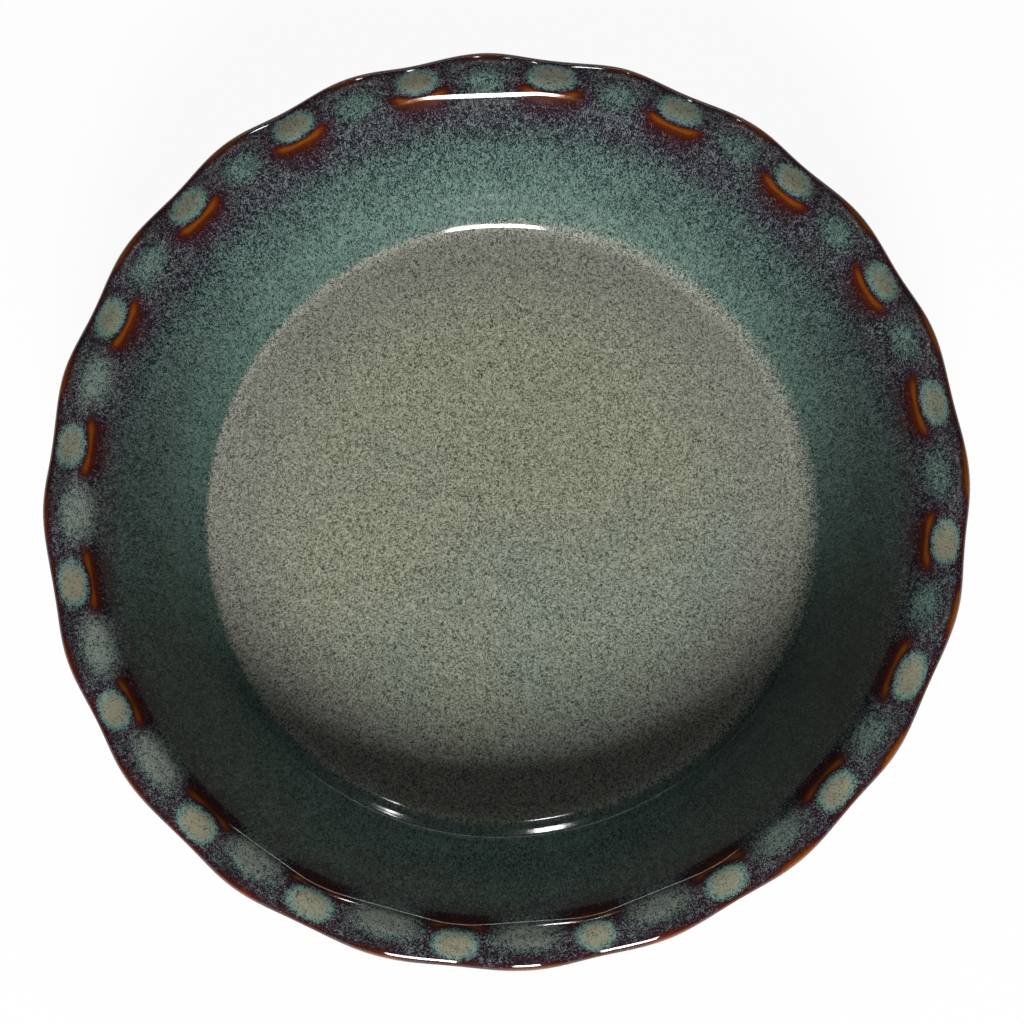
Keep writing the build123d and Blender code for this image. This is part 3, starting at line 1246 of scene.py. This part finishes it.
@dataclass(frozen=True)
class OutsideGlaze:
    """The coat from the rim's widest line down the outside to the bare foot."""

    form: DishForm
    rule: PinchRule
    steps: int = 640
    join_radius: float = 3.0 * MILLIMETRE       # the sponged hollow under the rim
    # Rows of points under the rim, round the hollow, down the wall, round the heel and round the end
    rows: tuple[int, int, int, int, int] = (18, 6, 12, 8, 5)
    back_step: int = 3
    edge_share: float = 0.55                    # from the crest down to the rim's edge, of the rim's depth
    # The glaze is thin at the rim's edge and grows deeper downwards, and its end near the foot is thin
    # again. The first two fades are in millimetres below that edge, the others above the foot's recess.
    edge_depth: float = 0.12
    upper_depth: float = 0.34
    upper_fade: Pair = (-0.5, 5.0)
    lower_depth: float = 0.22
    lower_fade: Pair = (5.0, 20.0)
    heel_depth: float = 0.14
    heel_fade: Pair = (7.0, 2.0)
    end_depth: float = -0.55
    end_fade: Pair = (0.9, 0.1)

    def skin(self) -> Outline:
        """Draws the finished surface.

        Returns:
            The line from the rim's widest line down to where the glaze ends.
        """
        form = self.form
        lean = math.atan(form.wall_slope)
        draw_in = math.tan((math.pi / 2 - lean) / 2)
        rim_rows, join_rows, wall_rows, heel_rows, _ = self.rows
        under_rim = form.rim_line(form.edge_index, form.edge_index + 2, rim_rows)
        rim_height = form.overall_height - form.rim_depth
        join_middle = (
            form.wall_radius(rim_height, 1) + self.join_radius * draw_in,
            rim_height - self.join_radius,
        )
        join = arc(join_middle, self.join_radius, math.pi / 2, math.pi - lean, join_rows)
        heel_middle = (
            form.wall_radius(form.foot_height, 1) - form.heel_radius * draw_in,
            form.foot_height + form.heel_radius,
        )
        heel = arc(heel_middle, form.heel_radius, -lean, -math.pi / 2, heel_rows)
        wall = [
            (form.wall_radius(height, 1), height)
            for height in np.linspace(join[-1][1], heel[0][1], wall_rows)[1:-1]
        ]
        return under_rim.followed_by(Outline.of_turned([*join, *wall, *heel]))

    def roll(self) -> list[tuple[float, float]]:
        """Draws the rounded end of the glaze over the bare clay.

        Returns:
            The points of its arc.
        """
        form = self.form
        middle = (form.glaze_line + form.coat, form.foot_height + form.coat)
        return arc(middle, form.coat, -math.pi / 2, -math.pi, self.rows[-1])

    def build(self, glaze: bpy.types.Material) -> bpy.types.Object:
        """Builds the piece and paints the depth of its glaze.

        Args:
            glaze: The finish.

        Returns:
            The closed piece.
        """
        skin = self.skin()
        back = skin.inset(self.form.coat).thinned(self.back_step).reversed()
        loop = skin.followed_by(Outline.of_turned(self.roll()), back)
        start = Outline(skin.at_pinch[:1], skin.at_lobe[:1])
        piece = self.rule.turn("outside_coat", loop.followed_by(start), self.steps, glaze)
        self.paint(piece.data)
        return piece

    def paint(self, mesh: bpy.types.Mesh) -> None:
        """Stores how deep the glaze lies and the unrolled surface.

        Args:
            mesh: The piece's mesh.
        """
        form = self.form
        places = vertex_places(mesh)
        below_edge = (form.overall_height - form.rim_depth * self.edge_share - places[:, 2]) / MILLIMETRE
        above_recess = (places[:, 2] - form.foot_height) / MILLIMETRE
        pool = self.edge_depth + self.upper_depth * smooth_step(*self.upper_fade, below_edge)
        pool += self.lower_depth * smooth_step(*self.lower_fade, below_edge)
        pool += self.heel_depth * smooth_step(*self.heel_fade, above_recess)
        pool += self.end_depth * smooth_step(*self.end_fade, above_recess)
        store(mesh, Zone.POOL, np.clip(pool, 0, 1))
        store(mesh, Zone.FLOOR, np.zeros(len(places)))
        store(mesh, Zone.PLACE, unrolled(form, places))


@dataclass(frozen=True)
class UndersideGlaze:
    """The coat in the recess of the foot, which climbs the foot a little."""

    form: DishForm
    rule: PinchRule
    steps: int = 240
    climb: float = 0.8 * MILLIMETRE
    pool_depth: float = 0.72
    climb_depth: float = -0.6
    climb_fade: Pair = (0.3, 0.9)               # as shares of the climb
    ring_shares: tuple[float, ...] = (0, 0.06, 0.15, 0.27, 0.4, 0.52, 0.64, 0.75, 0.85, 0.93)

    def build(self, glaze: bpy.types.Material) -> bpy.types.Object:
        """Builds the piece and paints the depth of its glaze.

        Args:
            glaze: The finish.

        Returns:
            The closed piece.
        """
        form = self.form
        disc = [(form.foot_inner_radius * share, form.foot_height) for share in self.ring_shares]
        middle = (form.foot_inner_radius - self.climb, form.foot_height - self.climb)
        edge = arc(middle, self.climb, math.pi / 2, 0, 6)
        back_height = form.foot_height + form.coat
        back = [(form.foot_inner_radius * share, back_height) for share in BACK_RING_SHARES]
        loop = Outline.of_turned([*disc, *edge, *back])
        piece = self.rule.turn("underside_coat", loop, self.steps, glaze)
        places = vertex_places(piece.data)
        climbed = smooth_step(*self.climb_fade, (form.foot_height - places[:, 2]) / self.climb)
        store(piece.data, Zone.POOL, self.pool_depth + self.climb_depth * climbed)
        store(piece.data, Zone.FLOOR, np.zeros(len(places)))
        store(piece.data, Zone.PLACE, unrolled(form, places))
        return piece


@dataclass(frozen=True)
class StonewareBody:
    """The one piece of fired clay under the coats, bare at its foot."""

    form: DishForm
    rule: PinchRule
    steps: int = 320
    upper_step: int = 2                         # one point for so many of the inside coat's face
    corner: float = 0.8 * MILLIMETRE

    def build(
        self, inside: InsideGlaze, outside: OutsideGlaze, clay: bpy.types.Material
    ) -> bpy.types.Object:
        """Builds the piece.

        Args:
            inside: The coat whose back the clay's upper side follows.
            outside: The coat whose back its outer side follows.
            clay: The finish.

        Returns:
            The closed piece.
        """
        form = self.form
        upper = inside.skin().inset(form.coat).thinned(self.upper_step)
        upper.at_pinch[0, 0] = upper.at_lobe[0, 0] = 0.0
        outer = outside.skin().inset(form.coat)
        edge, corner, foot = form.foot_edge, self.corner, form.foot_outer_radius
        recess = form.foot_height + form.coat
        bare = [
            (form.glaze_line, recess),
            (form.glaze_line, form.foot_height),
            *arc((foot + corner, form.foot_height - corner), corner, math.pi / 2, math.pi, 4),
            *arc((foot - edge, edge), edge, 0, -math.pi / 2, 6),
            *arc((form.foot_inner_radius + edge, edge), edge, -math.pi / 2, -math.pi, 6),
            *((form.foot_inner_radius * share, recess) for share in BACK_RING_SHARES),
        ]
        return self.rule.turn(
            "fired_clay", upper.followed_by(outer, Outline.of_turned(bare)), self.steps, clay
        )


# The studio


@dataclass(frozen=True)
class Lamp:
    """A soft rectangular lamp that faces the middle of the dish. Its angles are in degrees.

    Most of them are here for the highlights that they leave in the glaze.
    """

    name: str
    azimuth: float          # from +X towards +Y
    elevation: float        # above the table
    width: float            # as seen from the dish
    height: float
    radiance: float         # how bright its face is, where 1 is white paper in full light
    distance: float = 2.4

    def hang(self, target: Vector) -> None:
        """Adds the lamp to the scene.

        Args:
            target: The point that it faces.
        """
        azimuth, elevation = math.radians(self.azimuth), math.radians(self.elevation)
        away = Vector((
            math.cos(azimuth) * math.cos(elevation),
            math.sin(azimuth) * math.cos(elevation),
            math.sin(elevation),
        ))
        light = bpy.data.lights.new(self.name, "AREA")
        light.shape = "RECTANGLE"
        light.size = 2 * self.distance * math.tan(math.radians(self.width / 2))
        light.size_y = 2 * self.distance * math.tan(math.radians(self.height / 2))
        light.energy = self.radiance * math.pi * light.size * light.size_y
        lamp = bpy.data.objects.new(self.name, light)
        lamp.location = target + away * self.distance
        lamp.rotation_mode = "QUATERNION"
        lamp.rotation_quaternion = away.to_track_quat("Z", "Y")
        bpy.context.scene.collection.objects.link(lamp)


@dataclass(frozen=True)
class Studio:
    """A pale table, windows in front, lamps behind, and a camera almost straight above."""

    form: DishForm
    camera_distance: float = 0.4755
    camera_tilt: float = math.radians(8.5)
    lens: float = 58.75
    nearest: float = 0.01                                   # the camera sees nothing nearer
    aside: float = 2.0 * MILLIMETRE                         # how far the camera is shifted to the right
    below: float = 5.5 * MILLIMETRE                         # and down across its own view
    table_size: float = 6.0
    sky: float = 0.01
    bright_sky: float = 0.06
    sky_start: float = 0.1                                  # where the ceiling begins to brighten
    brightest: tuple[float, float, float] = (-0.1, 0.6, 0.79)   # the way towards its palest part
    cloth: str = "#f2f1ee"
    paper: str = "#ffffff"
    paper_share: float = 0.94                               # how much of the table the camera sees as paper

    def build(self) -> None:
        """Sets the table, the room's light, the lamps and the camera."""
        self.lay_table()
        self.light_world()
        target = Vector((0, 0, self.form.overall_height / 2))
        for lamp in (
            Lamp("window_left_pane", -93.5, 32.5, 9.0, 17, 52),
            Lamp("window_right_pane", -82.9, 32.5, 9.0, 17, 52),
            Lamp("lamp_behind", 98, 33, 3.4, 5.5, 40),
            Lamp("small_lamp_behind", 73.0, 33, 1.5, 4.5, 40),
            Lamp("gap_behind", 88, 11, 60, 1.6, 8),
            Lamp("pale_wall_in_front", -92, 11, 44, 7, 0.6),
        ):
            lamp.hang(target)
        self.place_camera()

    def lay_table(self) -> None:
        """Lays the table top, a shadow-catching pale plane that reads as white."""
        half = self.table_size / 2
        mesh = bpy.data.meshes.new("table_top")
        corners = [(-half, -half, 0), (half, -half, 0), (half, half, 0), (-half, half, 0)]
        mesh.from_pydata(corners, [], [(0, 1, 2, 3)])
        table = bpy.data.objects.new("table_top", mesh)
        bpy.context.scene.collection.objects.link(table)
        material = bpy.data.materials.new("white_table")
        material.use_nodes = True
        tree = material.node_tree
        tree.nodes.clear()
        cloth = add_node(tree, "ShaderNodeBsdfDiffuse", {"Color": linear(self.cloth)}).outputs[0]
        paper = add_node(tree, "ShaderNodeEmission", {"Color": linear(self.paper)}).outputs[0]
        known = {"seen": add_node(tree, "ShaderNodeLightPath").outputs["Is Camera Ray"]}
        add_chain(tree, "ShaderNodeMath", known, [("share", "MULTIPLY", "seen", self.paper_share)])
        mixed = add_node(tree, "ShaderNodeMixShader", {0: known["share"], 1: cloth, 2: paper}).outputs[0]
        add_node(tree, "ShaderNodeOutputMaterial", {"Surface": mixed})
        mesh.materials.append(material)

    def light_world(self) -> None:
        """Fills the room with plain soft light, and shows it white to the camera."""
        world = bpy.data.worlds.new("room")
        bpy.context.scene.world = world
        world.use_nodes = True
        tree = world.node_tree
        tree.nodes.clear()
        seen = add_node(tree, "ShaderNodeLightPath").outputs["Is Camera Ray"]
        towards = add_node(tree, "ShaderNodeTexCoord").outputs["Generated"]
        facing = add_node(
            tree, "ShaderNodeVectorMath", {0: towards, 1: self.brightest}, operation="DOT_PRODUCT"
        ).outputs["Value"]
        wide = add_node(
            tree,
            "ShaderNodeMapRange",
            {
                "Value": facing,
                "From Min": self.sky_start,
                "To Min": self.sky,
                "To Max": self.bright_sky,
            },
            interpolation_type="SMOOTHSTEP",
        ).outputs[0]
        strength = add_node(tree, "ShaderNodeMapRange", {"Value": seen, "To Min": wide}).outputs[0]
        room = add_node(
            tree, "ShaderNodeBackground", {"Color": linear(self.paper), "Strength": strength}
        ).outputs[0]
        add_node(tree, "ShaderNodeOutputWorld", {"Surface": room})

    def place_camera(self) -> None:
        """Puts the camera where the photograph was taken from, tipped a little towards the front."""
        data = bpy.data.cameras.new("camera")
        data.lens = self.lens
        data.clip_start = self.nearest
        camera = bpy.data.objects.new("camera", data)
        tilt = self.camera_tilt
        back = Vector((0, -math.sin(tilt), math.cos(tilt)))
        up = Vector((0, math.cos(tilt), math.sin(tilt)))
        rim_middle = Vector((0, 0, self.form.overall_height - self.form.relief))
        shift = Vector((self.aside, 0, 0)) - up * self.below
        camera.location = rim_middle + back * self.camera_distance + shift
        camera.rotation_mode = "QUATERNION"
        camera.rotation_quaternion = (-back).to_track_quat("-Z", "Y")
        bpy.context.scene.collection.objects.link(camera)
        bpy.context.scene.camera = camera


def main() -> None:
    """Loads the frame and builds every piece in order."""
    logging.basicConfig(level=logging.INFO, format="%(name)s: %(message)s")
    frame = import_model()
    LOG.info("frame holds %s", ", ".join(sorted(frame["nodes"])))

    form = DishForm.of_frame()
    rule = PinchRule(form)
    reactive = ReactiveGlaze("reactive_glaze").material()
    clay = BareStoneware().material()

    inside, outside = InsideGlaze(form, rule), OutsideGlaze(form, rule)
    pieces = {
        "inside_glaze": inside.build(reactive),
        "outside_glaze": outside.build(reactive),
        "underside_glaze": UndersideGlaze(form, rule).build(reactive),
        "stoneware_body": StonewareBody(form, rule).build(inside, outside, clay),
    }
    for node, piece in pieces.items():
        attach(piece, "root")
        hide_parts(node)
        LOG.info("%s: %d faces", piece.name, len(piece.data.polygons))

    Studio(form).build()
    bpy.context.scene.view_settings.view_transform = "Standard"


if __name__ == "__main__":
    main()
